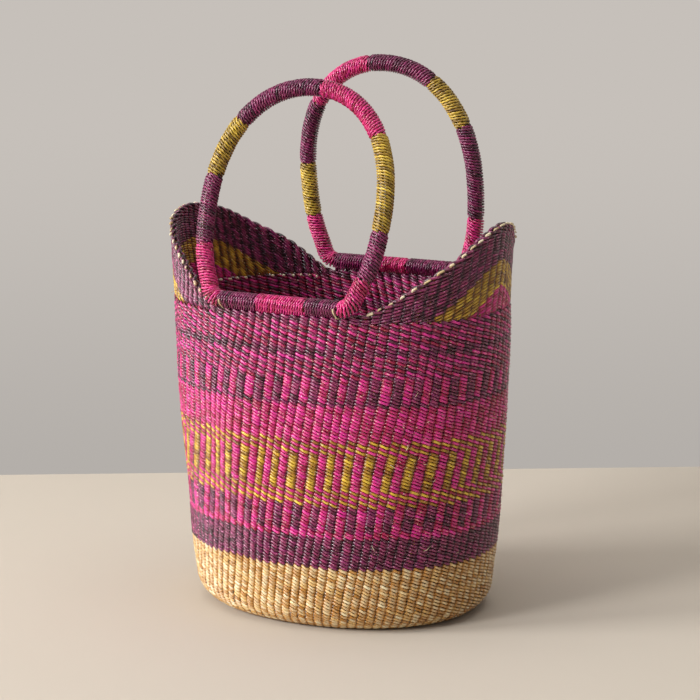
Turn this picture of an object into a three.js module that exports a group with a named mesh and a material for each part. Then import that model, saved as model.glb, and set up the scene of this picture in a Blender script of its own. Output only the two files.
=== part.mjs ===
import * as THREE from 'three';

// A handled market basket, twined from dyed straw over upright stakes.
// Millimetres, Z up, standing on the floor, X from ear to ear, the front handle at -Y.

// Weave
const stakeCount = 96;
const rowPitch = 2.8;
const wallThickness = 6;
const ribDepth = 1.2;
const fitGap = 0.3;

// Rows of straw in each band, from the floor up
const footRows = 21;
const purpleRows = 10;
const lowerCheckRows = 10;
const goldRows = 21;
const pinkRows = 11;
const upperCheckRows = 9;
const dashRows = 17;
const rimRows = 2;
const rightEarRows = 26;
const leftEarRows = 25;
const earBorderRows = 9;
const earStripeRows = 8;

// Plan and profile of the outside of the wall
const footHalfLength = 137;
const rimHalfLength = 158;
const footHalfWidth = 108;
const rimHalfWidth = 114.5;
const planPower = 2.1;
const swellPower = 1.6;
const footRoundHeight = 22;
const footRoundInset = 16;
const footFlat = 6;
const baseThickness = 5;
const rimFlareShare = 0.07;

// Ears: where they start beside each handle, how full each outline is and how far each leans out
const earStart = 66;
const rightEarFullness = 1.54;
const rightEarRunOut = 1.68;
const rightEarLeanShare = 0.057;
const leftEarFullness = 1.8;
const leftEarRunOut = 1.24;
const leftEarLeanShare = 0.023;

// Handles: a closed loop of grass core, wrapped in straw and lashed down on the rim
const coreRadius = 4.4;
const gripRadius = 8;
const lashRadius = 7.4;
const frontBarHalfLength = 68.5;
const backBarHalfLength = 73;
const barCornerReach = 9.5;
const loopHalfWidth = 86.5;
const loopShoulderHeight = 84;
const loopHeight = 191;
const frontLean = THREE.MathUtils.degToRad(20);
const backLean = THREE.MathUtils.degToRad(7);
const sideStartShares = [0.45, 0.3];
const sideEndShare = 0.6;
const archFullnessShare = 0.6;

// Lengths of the coloured wraps, as shares of the loop and of the bar, from -X to +X
const frontWrapShares = [
  ['pink', 0.114],
  ['purple', 0.125],
  ['gold', 0.108],
  ['purple', 0.173],
  ['pink', 0.152],
  ['gold', 0.171],
  ['purple', 0.086],
  ['pink', 0.071],
];
const backWrapShares = [
  ['pink', 0.105],
  ['gold', 0.102],
  ['purple', 0.124],
  ['pink', 0.143],
  ['purple', 0.131],
  ['gold', 0.101],
  ['purple', 0.173],
  ['pink', 0.121],
];
const frontLashShares = [
  ['purple', 0.32],
  ['pink', 0.41],
  ['purple', 0.27],
];
const backLashShares = [
  ['purple', 0.36],
  ['pink', 0.24],
  ['purple', 0.4],
];

// Counts of faces
const columnsPerStake = 2;
const columnsPerPanel = 4;
const coreSides = 6;
const gripSides = 8;
const lashSides = 10;
const bentStep = 5;
const archStep = 18;
const coreStep = 7.5;

// Heights that follow from the rows
const footTop = footRows * rowPitch;
const purpleTop = footTop + purpleRows * rowPitch;
const lowerCheckTop = purpleTop + lowerCheckRows * rowPitch;
const goldTop = lowerCheckTop + goldRows * rowPitch;
const pinkTop = goldTop + pinkRows * rowPitch;
const upperCheckTop = pinkTop + upperCheckRows * rowPitch;
const wallTop = upperCheckTop + dashRows * rowPitch;
const rimDepth = rimRows * rowPitch;
const lowRim = wallTop + rimDepth;
const rightEarHeight = rightEarRows * rowPitch;
const leftEarHeight = leftEarRows * rowPitch;
const earBorderDepth = earBorderRows * rowPitch;
const earStripeDepth = earStripeRows * rowPitch;
const barHeight = lowRim + fitGap + lashRadius;
const handleSpread = rimHalfWidth - wallThickness;
const columnCount = stakeCount * columnsPerStake;

function straw(hex, roughness) {
  return new THREE.MeshStandardMaterial({ color: hex, roughness, metalness: 0 });
}

const strawRoughness = 0.6;
const finishes = {
  natural: straw(0xdcbb8a, strawRoughness),
  purple: straw(0x5f2b45, strawRoughness),
  pink: straw(0xc2286f, strawRoughness),
  gold: straw(0xb08c2c, strawRoughness),
  mixed: straw(0x9a3564, strawRoughness),
  core: straw(0xc9ad7c, strawRoughness),
};

// How far the rounded foot draws the wall in at a height above the floor.
function footDrawIn(z, reach, bottom) {
  if (z >= footRoundHeight) {
    return 0;
  }
  const drop = (footRoundHeight - z) / (footRoundHeight - bottom);
  return reach * (1 - Math.sqrt(Math.max(0, 1 - drop * drop)));
}

// Half length and half width of the wall, before the foot is rounded.
function wallHalfSizes(z) {
  const taper = Math.pow(Math.max(0, 1 - z / lowRim), swellPower);
  return {
    halfLength: rimHalfLength - (rimHalfLength - footHalfLength) * taper,
    halfWidth: rimHalfWidth - (rimHalfWidth - footHalfWidth) * taper,
  };
}

// The rim rows flare out a little. Above them each ear leans by its own share, blended from one to the other.
function leanOut(angle, z) {
  const towardsRight = (1 + Math.cos(angle)) / 2;
  const share = leftEarLeanShare + (rightEarLeanShare - leftEarLeanShare) * towardsRight;
  return rimFlareShare * Math.max(0, Math.min(z, lowRim) - wallTop) + share * Math.max(0, z - lowRim);
}

function rounded(value) {
  return Math.sign(value) * Math.pow(Math.abs(value), 2 / planPower);
}

function planPoint(angle, z, inset) {
  const { halfLength, halfWidth } = wallHalfSizes(z);
  const outward = leanOut(angle, z) - inset;
  return new THREE.Vector3(
    (halfLength + outward) * rounded(Math.cos(angle)),
    (halfWidth + outward) * rounded(Math.sin(angle)),
    z,
  );
}

// Stakes stand at even distances round the rim, so the walk round it is measured once.
const walkSteps = 7200;

function measureWalk() {
  const distances = [0];
  for (let step = 1; step <= walkSteps; step += 1) {
    const before = planPoint(((step - 1) / walkSteps) * 2 * Math.PI, lowRim, 0);
    const after = planPoint((step / walkSteps) * 2 * Math.PI, lowRim, 0);
    distances.push(distances[step - 1] + before.distanceTo(after));
  }
  return distances;
}

const walk = measureWalk();
const girth = walk[walkSteps];

function angleAtDistance(distance) {
  const target = ((distance % girth) + girth) % girth;
  let step = 1;
  while (walk[step] < target) {
    step += 1;
  }
  const part = (target - walk[step - 1]) / (walk[step] - walk[step - 1]);
  return ((step - 1 + part) / walkSteps) * 2 * Math.PI;
}

function distanceToStart(start) {
  let step = 0;
  while (planPoint((step / walkSteps) * 2 * Math.PI, lowRim, 0).x > start) {
    step += 1;
  }
  return walk[step];
}

const earHalfReach = distanceToStart(earStart);
const columnAngles = Array.from({ length: columnCount }, (_, column) =>
  angleAtDistance((column / columnCount) * girth),
);

function columnAngle(column) {
  return columnAngles[((column % columnCount) + columnCount) % columnCount];
}

const rightEar = { height: rightEarHeight, fullness: rightEarFullness, runOut: rightEarRunOut };
const leftEar = { height: leftEarHeight, fullness: leftEarFullness, runOut: leftEarRunOut };

// The top edge: level along the handles, rising to a rounded ear at each end.
function rimHeight(column) {
  const along = (((column % columnCount) + columnCount) % columnCount) / columnCount;
  const fromLeft = Math.abs(along - 1 / 2);
  const fromRight = Math.min(along, 1 - along);
  const { height, fullness, runOut } = fromRight < fromLeft ? rightEar : leftEar;
  const reach = Math.min(1, (Math.min(fromLeft, fromRight) * girth) / earHalfReach);
  return lowRim + height * Math.pow(1 - Math.pow(reach, fullness), runOut);
}

// Depths below the rim are measured square to it, so ear rows keep their spacing on the slope.
function heightBelowRim(column, depth) {
  const slope = (rimHeight(column + 1) - rimHeight(column - 1)) / ((2 * girth) / columnCount);
  return Math.max(wallTop, rimHeight(column) - depth * Math.hypot(1, slope));
}

function innerInset(z) {
  return wallThickness + footDrawIn(z, footRoundInset + footFlat - wallThickness, baseThickness);
}

function outerPoint(column, z) {
  const valley = column % columnsPerStake === 0 ? 0 : ribDepth;
  return planPoint(columnAngle(column), z, footDrawIn(z, footRoundInset, 0) + valley);
}

function innerPoint(column, z) {
  return planPoint(columnAngle(column), z, innerInset(z));
}

// A solid between an outer skin of fine columns and an inner skin of wide panels.
// The rows of each skin are listed from the bottom up, and each row runs round from X to Y.
function wallSolid(skins, closed) {
  const positions = [];
  const { outerColumns, innerColumns, outerRows, innerRows } = skins;
  const next = (list, index) => list[(index + 1) % list.length];
  const edgeCount = (list) => (closed ? list.length : list.length - 1);

  const face = (a, b, c) => {
    if (a.equals(b) || b.equals(c) || c.equals(a)) {
      return;
    }
    positions.push(...a.toArray(), ...b.toArray(), ...c.toArray());
  };

  const skin = (rows, outward) => {
    for (let r = 0; r + 1 < rows.length; r += 1) {
      for (let j = 0; j < edgeCount(rows[r]); j += 1) {
        const below = [rows[r][j], next(rows[r], j)];
        const above = [rows[r + 1][j], next(rows[r + 1], j)];
        if (outward) {
          face(below[0], below[1], above[1]);
          face(below[0], above[1], above[0]);
        } else {
          face(below[0], above[1], below[1]);
          face(below[0], above[0], above[1]);
        }
      }
    }
  };

  // A panel that a band's end cuts short keeps the middle of a whole one, so that it fits its neighbour.
  const halfPanel = columnsPerPanel / 2;
  const edge = (outer, inner, upward) => {
    const turn = (a, b, c) => (upward ? face(a, b, c) : face(a, c, b));
    for (let i = 0; i < edgeCount(inner); i += 1) {
      const near = inner[i];
      const far = next(inner, i);
      const first = outerColumns.indexOf(innerColumns[i]);
      const atLast = i + 1 === innerColumns.length;
      const last = atLast ? outer.length : outerColumns.indexOf(innerColumns[i + 1]);
      const half = i === 0 ? Math.max(first, last - halfPanel) : Math.min(last, first + halfPanel);
      for (let j = first; j < last; j += 1) {
        turn(j < half ? near : far, outer[j], next(outer, j));
      }
      turn(near, outer[half], far);
    }
  };

  const end = (outer, inner) => {
    const outline = [...outer, ...inner.slice().reverse()];
    for (let i = 1; i + 1 < outline.length; i += 1) {
      face(outline[0], outline[i], outline[i + 1]);
    }
  };

  skin(outerRows, true);
  skin(innerRows, false);
  edge(outerRows.at(-1), innerRows.at(-1), true);
  edge(outerRows[0], innerRows[0], false);
  if (!closed) {
    end(outerRows.map((row) => row[0]), innerRows.map((row) => row[0]));
    end(innerRows.map((row) => row.at(-1)), outerRows.map((row) => row.at(-1)));
  }
  const geometry = new THREE.BufferGeometry();
  geometry.setAttribute('position', new THREE.Float32BufferAttribute(positions, 3));
  geometry.computeVertexNormals();
  return geometry;
}

function range(first, last, step) {
  const list = [];
  for (let value = first; value <= last; value += step) {
    list.push(value);
  }
  return list;
}

const everyColumn = range(0, columnCount - 1, 1);
const everyPanel = range(0, columnCount - 1, columnsPerPanel);

// A band of rows all the way round, between two heights that may follow the column.
function ringBand(lowerAt, upperAt) {
  const low = (column) => lowerAt(column) + fitGap / 2;
  const high = (column) => upperAt(column) - fitGap / 2;
  return wallSolid({
    outerColumns: everyColumn,
    innerColumns: everyPanel,
    outerRows: [low, high].map((at) => everyColumn.map((column) => outerPoint(column, at(column)))),
    innerRows: [low, high].map((at) => everyPanel.map((column) => innerPoint(column, at(column)))),
  }, true);
}

// The foot turns in under the wall to a flat ring that the base fits inside.
function footBand() {
  const top = footTop - fitGap / 2;
  const quarter = footRoundHeight / 4;
  const outerHeights = [quarter / 2, 2 * quarter, footRoundHeight, top];
  const innerHeights = [baseThickness, 2 * quarter, footRoundHeight, top];
  const floorRing = (inset) => everyColumn.map((column) => planPoint(columnAngle(column), 0, inset));
  return wallSolid({
    outerColumns: everyColumn,
    innerColumns: everyPanel,
    outerRows: [
      floorRing(footRoundInset + footFlat),
      floorRing(footRoundInset),
      ...outerHeights.map((z) => everyColumn.map((column) => outerPoint(column, z))),
    ],
    innerRows: innerHeights.map((z) => everyPanel.map((column) => innerPoint(column, z))),
  }, true);
}

function baseDisc() {
  const inset = footRoundInset + footFlat + fitGap;
  const floorRing = everyPanel.map((column) => planPoint(columnAngle(column), 0, inset));
  const outline = new THREE.Shape(floorRing.map((point) => new THREE.Vector2(point.x, point.y)));
  return new THREE.ExtrudeGeometry(outline, { depth: baseThickness, bevelEnabled: false });
}

// Part of an ear: short rows that follow the rim and run out on the top of the level wall.
function earBand(centreColumn, depthFrom, depthTo) {
  const lower = (column) => heightBelowRim(column, depthTo) + fitGap / 2;
  const upper = (column) => Math.max(lower(column), heightBelowRim(column, depthFrom) - fitGap / 2);
  let reach = 0;
  while (upper(centreColumn + reach) > lower(centreColumn + reach)) {
    reach += 1;
  }
  const columns = range(centreColumn - reach, centreColumn + reach, 1);
  const onPanel = (column) => (column - centreColumn) % columnsPerPanel === 0;
  const panels = columns.filter((column, index) => onPanel(column) || index % (columns.length - 1) === 0);
  return wallSolid({
    outerColumns: columns,
    innerColumns: panels,
    outerRows: [lower, upper].map((at) => columns.map((column) => outerPoint(column, at(column)))),
    innerRows: [lower, upper].map((at) => panels.map((column) => innerPoint(column, at(column)))),
  }, false);
}

const basket = new THREE.Group();

function add(parent, name, geometry, material) {
  const mesh = new THREE.Mesh(geometry, material);
  mesh.name = name;
  parent.add(mesh);
  return mesh;
}

function level(z) {
  return () => z;
}

add(basket, 'base_disc', baseDisc(), finishes.natural);
add(basket, 'foot_band', footBand(), finishes.natural);
add(basket, 'purple_band', ringBand(level(footTop), level(purpleTop)), finishes.purple);
add(basket, 'lower_check_band', ringBand(level(purpleTop), level(lowerCheckTop)), finishes.mixed);
add(basket, 'gold_pink_band', ringBand(level(lowerCheckTop), level(goldTop)), finishes.gold);
add(basket, 'pink_band', ringBand(level(goldTop), level(pinkTop)), finishes.pink);
add(basket, 'upper_check_band', ringBand(level(pinkTop), level(upperCheckTop)), finishes.mixed);
add(basket, 'dashed_band', ringBand(level(upperCheckTop), level(wallTop)), finishes.mixed);
add(basket, 'rim_band', ringBand((column) => heightBelowRim(column, rimDepth), rimHeight), finishes.purple);

const stripeTopDepth = rimDepth + earBorderDepth;
const wedgeTopDepth = stripeTopDepth + earStripeDepth;
for (const [side, centreColumn, ear] of [['right', 0, rightEar], ['left', columnCount / 2, leftEar]]) {
  const wholeDepth = rimDepth + ear.height;
  add(basket, `${side}_ear_border`, earBand(centreColumn, rimDepth, stripeTopDepth), finishes.purple);
  add(basket, `${side}_ear_stripe`, earBand(centreColumn, stripeTopDepth, wedgeTopDepth), finishes.gold);
  add(basket, `${side}_ear_wedge`, earBand(centreColumn, wedgeTopDepth, wholeDepth), finishes.pink);
}

// Centre line of a handle in its own plane: X along the bar, Y up the loop.
// It runs from the middle of the bar to +X, up, over and back, and leaves the ends a gap apart.
function loopPath(barHalfLength) {
  const sideRun = (loopHalfWidth - barHalfLength) * sideStartShares[0];
  const sideRise = loopShoulderHeight * sideStartShares[1];
  const sideLength = Math.hypot(sideRun, sideRise);
  const cornerX = barHalfLength + (barCornerReach * sideRun) / sideLength;
  const cornerY = (barCornerReach * sideRise) / sideLength;
  const shoulderPull = loopShoulderHeight * (1 - sideEndShare);
  const path = new THREE.Path();
  path.moveTo(fitGap / 2, 0);
  path.lineTo(barHalfLength - barCornerReach, 0);
  path.quadraticCurveTo(barHalfLength, 0, cornerX, cornerY);
  path.bezierCurveTo(
    barHalfLength + sideRun, sideRise,
    loopHalfWidth, shoulderPull,
    loopHalfWidth, loopShoulderHeight,
  );
  const archPull = loopShoulderHeight + (loopHeight - loopShoulderHeight) * archFullnessShare;
  const archReach = loopHalfWidth * archFullnessShare;
  path.bezierCurveTo(loopHalfWidth, archPull, archReach, loopHeight, 0, loopHeight);
  path.bezierCurveTo(-archReach, loopHeight, -loopHalfWidth, archPull, -loopHalfWidth, loopShoulderHeight);
  path.bezierCurveTo(
    -loopHalfWidth, shoulderPull,
    -barHalfLength - sideRun, sideRise,
    -cornerX, cornerY,
  );
  path.quadraticCurveTo(-barHalfLength, 0, -barHalfLength + barCornerReach, 0);
  path.lineTo(-fitGap / 2, 0);
  return path;
}

// A stretch of a loop, between two distances from its first end.
class LoopStretch extends THREE.Curve {
  constructor(loop, from, to) {
    super();
    this.loop = loop;
    this.from = from;
    this.to = to;
  }

  getPoint(t) {
    const distance = this.from + (this.to - this.from) * t;
    const flat = this.loop.getPoint(Math.min(1, distance / this.loop.getLength()));
    return new THREE.Vector3(flat.x, 0, flat.y);
  }
}

function polygon(path, sides, radius) {
  for (let i = 0; i <= sides; i += 1) {
    const angle = (i / sides) * 2 * Math.PI;
    const x = radius * Math.cos(angle);
    const y = radius * Math.sin(angle);
    if (i === 0) {
      path.moveTo(x, y);
    } else {
      path.lineTo(x, y);
    }
  }
  return path;
}

// The bore's flats stay clear of a round core of the given radius.
function boreCorner(radius, sides) {
  return (radius + fitGap) / Math.cos(Math.PI / sides);
}

function tubeAlong(curve, steps, sides, radius, bored) {
  const section = polygon(new THREE.Shape(), sides, radius);
  if (bored) {
    section.holes.push(polygon(new THREE.Path(), sides, boreCorner(coreRadius, sides)));
  }
  return new THREE.ExtrudeGeometry(section, { steps, extrudePath: curve, bevelEnabled: false });
}

function lashTube(from, to) {
  const section = polygon(new THREE.Shape(), lashSides, lashRadius);
  section.holes.push(polygon(new THREE.Path(), lashSides, boreCorner(coreRadius, lashSides)));
  const geometry = new THREE.ExtrudeGeometry(section, { depth: to - from, bevelEnabled: false });
  geometry.rotateY(Math.PI / 2);
  geometry.translate(from, 0, 0);
  return geometry;
}

// Wraps run from -X to +X, which is backwards along the loop.
function addHandle(side, towards, lean, barHalfLength, wrapShares, lashShares) {
  const loop = loopPath(barHalfLength);
  const loopLength = loop.getLength();
  const barRun = barHalfLength - barCornerReach;
  const archLength = loopLength - 2 * (barRun - fitGap / 2);
  const handle = new THREE.Group();
  handle.position.set(0, -towards * handleSpread, barHeight);
  handle.rotation.x = -towards * lean;
  basket.add(handle);
  const coreSteps = Math.ceil(loopLength / coreStep);
  const core = tubeAlong(new LoopStretch(loop, 0, loopLength), coreSteps, coreSides, coreRadius, false);
  add(handle, `${side}_handle_core`, core, finishes.core);

  let distance = barRun - fitGap / 2 + archLength;
  wrapShares.forEach(([colour, share], index) => {
    const length = share * archLength;
    const stretch = new LoopStretch(loop, distance - length + fitGap / 2, distance - fitGap / 2);
    const bent = index === 0 || index === wrapShares.length - 1;
    const steps = Math.ceil(length / (bent ? bentStep : archStep));
    const name = `${side}_grip_${index + 1}_${colour}`;
    add(handle, name, tubeAlong(stretch, steps, gripSides, gripRadius, true), finishes[colour]);
    distance -= length;
  });

  const bar = new THREE.Group();
  bar.position.copy(handle.position);
  basket.add(bar);
  let from = -barRun;
  lashShares.forEach(([colour, share], index) => {
    const to = from + share * 2 * barRun;
    const tube = lashTube(from + fitGap / 2, to - fitGap / 2);
    add(bar, `${side}_lashing_${index + 1}_${colour}`, tube, finishes[colour]);
    from = to;
  });
}

addHandle('front', 1, frontLean, frontBarHalfLength, frontWrapShares, frontLashShares);
addHandle('back', -1, backLean, backBarHalfLength, backWrapShares, backLashShares);

export default basket;
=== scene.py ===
# %% [markdown]
# A carrying basket, straw by straw.
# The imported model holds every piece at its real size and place, and the way the handles swing.
# Its pieces are plain shells. A twined basket is nothing but straws, so each shell is replaced here
# by the straws that really fill it, and every one of them is made by the same few rules that a
# weaver follows.

# %% Load the frame
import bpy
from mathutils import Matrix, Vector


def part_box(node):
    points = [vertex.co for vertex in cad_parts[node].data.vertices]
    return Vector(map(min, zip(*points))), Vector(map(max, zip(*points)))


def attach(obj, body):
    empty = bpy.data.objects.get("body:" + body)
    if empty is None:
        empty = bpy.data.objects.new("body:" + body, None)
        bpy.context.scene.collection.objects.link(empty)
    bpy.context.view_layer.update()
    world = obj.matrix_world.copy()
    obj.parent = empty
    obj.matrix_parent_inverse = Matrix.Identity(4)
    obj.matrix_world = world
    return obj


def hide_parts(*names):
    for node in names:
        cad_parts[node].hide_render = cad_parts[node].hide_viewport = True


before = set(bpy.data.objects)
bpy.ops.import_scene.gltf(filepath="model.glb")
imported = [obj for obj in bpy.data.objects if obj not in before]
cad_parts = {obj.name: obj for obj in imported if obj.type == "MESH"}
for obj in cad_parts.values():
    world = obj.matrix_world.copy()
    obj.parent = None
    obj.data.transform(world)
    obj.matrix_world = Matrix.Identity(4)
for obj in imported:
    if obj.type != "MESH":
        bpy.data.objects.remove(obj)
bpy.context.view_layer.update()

# %% [markdown]
# Points come as arrays, because there are about eight hundred straws and most have hundreds of
# points each.
# All chance comes from one seeded source, so the basket is the same each time.

# %% Tools
import math

import bpy
import numpy as np
from mathutils import Matrix, Vector

SEED = 11
TURN = 2 * math.pi
dice = np.random.default_rng(SEED)
scene = bpy.context.scene
print("seeded with", SEED)

# %% [markdown]
# The camera looks from the right of the front handle and from a little above the rim.
# It is far away with a long lens, so the sides of the basket hardly run together.
# Its own axes are built from two angles, and a small roll gives the picture its slight tilt.

# %% Camera
AZIMUTH = math.radians(28.75)
ELEVATION = math.radians(11.66)
ROLL = math.radians(-0.68)
CAMERA_DISTANCE = 2.3
AIM_SIDEWAYS = 0.008
AIM_HEIGHT = 0.2297
LENS_MM = 131.6
SENSOR_MM = 36

towards_camera = Vector((
    math.sin(AZIMUTH) * math.cos(ELEVATION),
    -math.cos(AZIMUTH) * math.cos(ELEVATION),
    math.sin(ELEVATION),
))
screen_right = Vector((math.cos(AZIMUTH), math.sin(AZIMUTH), 0))
screen_up = towards_camera.cross(screen_right)
aim = screen_right * AIM_SIDEWAYS + Vector((0, 0, AIM_HEIGHT))

camera = bpy.data.objects.new("camera", bpy.data.cameras.new("camera"))
camera.data.lens = LENS_MM
camera.data.sensor_width = SENSOR_MM
axes = Matrix((screen_right, screen_up, towards_camera)).transposed()
camera.matrix_world = Matrix.Translation(aim + towards_camera * CAMERA_DISTANCE) @ (
    axes @ Matrix.Rotation(ROLL, 3, "Z")).to_4x4()
scene.collection.objects.link(camera)
scene.camera = camera
scene.view_settings.view_transform = "Standard"
print("camera at", [round(v, 3) for v in camera.matrix_world.translation])

# %% [markdown]
# Shader maths is easier to read as a sum than as a web of nodes.
# A Wire wraps one output socket. Adding or multiplying wires adds the Math nodes, and make() adds
# any other node. Its settings come first, because some of them change which sockets the node has.

# %% Wires for shader maths
class Wire:
    """An output socket of a material, which can stand in a sum."""

    def __init__(self, tree, socket=None):
        self.tree = tree
        self.socket = socket

    def make(self, kind, settings=None, sockets=None, output=0):
        node = self.tree.nodes.new(kind)
        for name, value in (settings or {}).items():
            setattr(node, name, value)
        self.feed(node, sockets or {})
        return Wire(self.tree, node.outputs[output])

    def feed(self, node, sockets):
        for key, value in sockets.items():
            if isinstance(value, Wire):
                self.tree.links.new(value.socket, node.inputs[key])
            else:
                node.inputs[key].default_value = value

    def sibling(self, output):
        """Another output of the node that this wire comes from."""
        return Wire(self.tree, self.socket.node.outputs[output])

    def maths(self, operation, first, second=0.0):
        return self.make("ShaderNodeMath", {"operation": operation}, {0: first, 1: second})

    def __add__(self, other):
        return self.maths("ADD", self, other)

    def __sub__(self, other):
        return self.maths("SUBTRACT", self, other)

    def __mul__(self, other):
        return self.maths("MULTIPLY", self, other)

    __radd__ = __add__

    def between(self, low, high):
        """0 below low, 1 above high, and a smooth rise from one to the other."""
        return self.make("ShaderNodeMapRange", {"interpolation_type": "SMOOTHSTEP"},
                         {"Value": self, "From Min": low, "From Max": high})

    def mix(self, first, second):
        """This wire as the share of the second colour."""
        return self.make("ShaderNodeMix", {"data_type": "RGBA"}, {0: self, 6: first, 7: second}, 2)


def colour(code):
    """A colour written as on a screen, such as 'c2286f', in the linear values of shaders."""
    parts = [int(code[i:i + 2], 16) / 255 for i in (0, 2, 4)]
    return tuple(c / 12.92 if c <= 0.04045 else ((c + 0.055) / 1.055) ** 2.4
                 for c in parts) + (1.0,)


print("pink in linear values:", [round(v, 3) for v in colour("c2286f")])

# %% [markdown]
# Straw takes dye unevenly. One length comes out deep and the next one bright, the hue itself drifts
# along a straw, and the fibres show as fine streaks. Where a fibre breaks, the pale inside shows as
# a fleck.
# Each straw is split and then rolled, so a shallow groove winds round it. The groove is a bump, and
# shade is painted into it as well. The straws of the handles are seen from close by, so their two
# plies are real tubes and need no groove.
# The streaks and the groove have to follow the straw, so they read a map that every straw carries:
# its length in metres one way, and the distance round it the other way.
# The tint is a number stored on the straw's points: 0 is deep, 1 is bright, and below nothing the
# straw lies in the gap between its neighbours, where painted shade takes the colour down to a near
# black.
# Straw is waxy, and its shine is white whatever the dye, so it gets a coat over the colour.

# %% The straw finish
STRAW_RADIUS = 0.00124
WALL_STRAW_RADIUS = 0.00103
PLY_LAY = 0.0105
GROOVE_EDGE = 0.5
FIBRE_GRAIN = (160, 3600, 0)
FLECK_GRAIN = (330, 900, 0)
DYE_GRAIN = (22, 7, 0)
FIBRE_TINT_SHARE = 0.7
DYE_TINT_SHARE = 0.5
DRIFT_PLACES = (0.5, 0.68)
DRIFT_SHARE = 0.65
PAINTED_SHADE_COLOUR = "0c0306"
PAINTED_SHADE_RANGE = (-0.45, 0.1)
LEAST_LIGHT_IN_PAINTED_SHADE = 0.2
FLECK_EDGE_WIDTH = 0.04
FIBRE_HEIGHT_SHARE = 0.3
ROUGHNESS_SPREAD = 0.3
BUMP = {"Strength": 0.55, "Distance": 0.0003}
SHEEN = {"Specular IOR Level": 0.45, "Coat Weight": 0.65, "Coat Roughness": 0.27}


def straw_finish(name, deep, bright, drift, pale, fleck_edge, roughness=0.36, groove_bump_and_shade=0.25):
    """Deep and bright are the ends of the dye's range, drift is the hue that it wanders to."""
    material = bpy.data.materials.new(name)
    material.use_nodes = True
    wires = Wire(material.node_tree)
    place = wires.make("ShaderNodeUVMap", {"uv_map": "straw"})
    along = wires.make("ShaderNodeSeparateXYZ", sockets={0: place})
    tint = wires.make("ShaderNodeAttribute", {"attribute_name": "tint"}, output=2)

    def grain(stretch, detail):
        stretched = wires.make(
            "ShaderNodeVectorMath", {"operation": "MULTIPLY"}, {0: place, 1: stretch})
        return wires.make("ShaderNodeTexNoise", {"noise_dimensions": "2D"},
                          {"Vector": stretched, "Scale": 1.0, "Detail": detail})

    fibres = grain(FIBRE_GRAIN, 2.0)
    specks = grain(FLECK_GRAIN, 1.0)
    dye = grain(DYE_GRAIN, 2.0)
    turns = along * (1 / PLY_LAY) + along.sibling(1) * (1 / (math.pi * STRAW_RADIUS))
    ridge = wires.maths("ABSOLUTE", wires.maths("SINE", turns * math.pi)).between(0.0, GROOVE_EDGE)
    depth_of_dye = tint + (fibres - 0.5) * FIBRE_TINT_SHARE + (dye - 0.5) * DYE_TINT_SHARE
    dyed = depth_of_dye.between(0.0, 1.0).mix(colour(deep), colour(bright))
    drifted = (dye.between(*DRIFT_PLACES) * DRIFT_SHARE).mix(dyed, colour(drift))
    # Painted shade: a tint below nothing takes the colour towards a near black, at crossings and on
    # hidden stakes and stems.
    painted_gap_shade = tint.between(*PAINTED_SHADE_RANGE) * (1 - LEAST_LIGHT_IN_PAINTED_SHADE) + LEAST_LIGHT_IN_PAINTED_SHADE
    # Painted shade in the groove, which the bump below also shapes.
    painted_groove_shade = ridge * groove_bump_and_shade + (1 - groove_bump_and_shade)
    shaded = (painted_groove_shade * painted_gap_shade).mix(colour(PAINTED_SHADE_COLOUR), drifted)
    fleck = specks.between(fleck_edge, fleck_edge + FLECK_EDGE_WIDTH)
    height = ridge * groove_bump_and_shade + fibres * FIBRE_HEIGHT_SHARE
    wires.feed(material.node_tree.nodes["Principled BSDF"], {
        "Base Color": fleck.mix(shaded, colour(pale)),
        "Roughness": (fibres - 0.5) * ROUGHNESS_SPREAD + roughness,
        "Normal": wires.make("ShaderNodeBump", sockets=BUMP | {"Height": height}),
    } | SHEEN)
    return material


CREAM = "f6e8c6"
finishes = {
    "natural": straw_finish("natural_straw", "bc7e2a", "fff0c4", "ecbe6e", CREAM, 0.74),
    "purple": straw_finish("purple_straw", "40061e", "ac346c", "821c5c", "de88ac", 0.68),
    "pink": straw_finish("pink_straw", "9c0036", "ff44a6", "e0209a", "f9cdbf", 0.72),
    "gold": straw_finish("gold_straw", "8a520a", "ffd846", "cc9826", "f5e4aa", 0.74),
    "core": straw_finish("dry_grass", "8f6d3e", "cdb07a", "a98a55", CREAM, 0.80),
    "cut": straw_finish("cut_ends", "c9ad78", CREAM, "b98f58", "fff6dc", 0.70, 0.55),
}
plied_finishes = {name: straw_finish(f"plied_{name}", *shades, groove_bump_and_shade=0.0)
                  for name, shades in {
    "purple": ("2c0218", "9a2864", "701450", "dc8ea8", 0.72),
    "pink": ("8c0232", "f2388c", "cc1a86", "f9cdbf", 0.74),
    "gold": ("5c3a08", "eac644", "b0862a", "f0dc9c", 0.76),
}.items()}
SLOTS = {name: f"{name}_straw" for name in ("natural", "purple", "pink", "gold")}
SLOTS |= {"core": "grass_core", "cut": "natural_straw"}
print("finishes:", ", ".join(finishes))

# %% [markdown]
# Every straw is a thin tube, and a piece is a bundle of tubes of one colour.
# A tube needs its centre line and, at each point, a direction that points away from the wall.
# Without that, a tube that winds about would twist on itself.

# %% Tubes
SIDES = 6


def unit(vectors):
    return vectors / np.linalg.norm(vectors, axis=-1, keepdims=True)


def steps_along(line, closed=False):
    """At each point, the step from the point before it to the one after it."""
    return np.roll(line, -1, 0) - np.roll(line, 1, 0) if closed else np.gradient(line, axis=0)


def reach_along(line):
    """The length of the line from its start to each point."""
    return np.append(0, np.cumsum(np.linalg.norm(np.diff(line, axis=0), axis=1)))


def square_to(line, outward, closed=False):
    """The outward directions made square to the line, and the directions to their side."""
    run = unit(steps_along(line, closed))
    side = unit(np.cross(run, outward))
    return np.cross(side, run), side


def tube_rings(centre, outward, radius, closed):
    """The points of the tube, a ring of them round each point of the centre line."""
    out, side = square_to(centre, outward, closed)
    turn = np.arange(SIDES) / SIDES * TURN
    spread = out[:, None] * np.cos(turn)[:, None] + side[:, None] * np.sin(turn)[:, None]
    return centre[:, None] + spread * radius[:, None, None]


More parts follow.
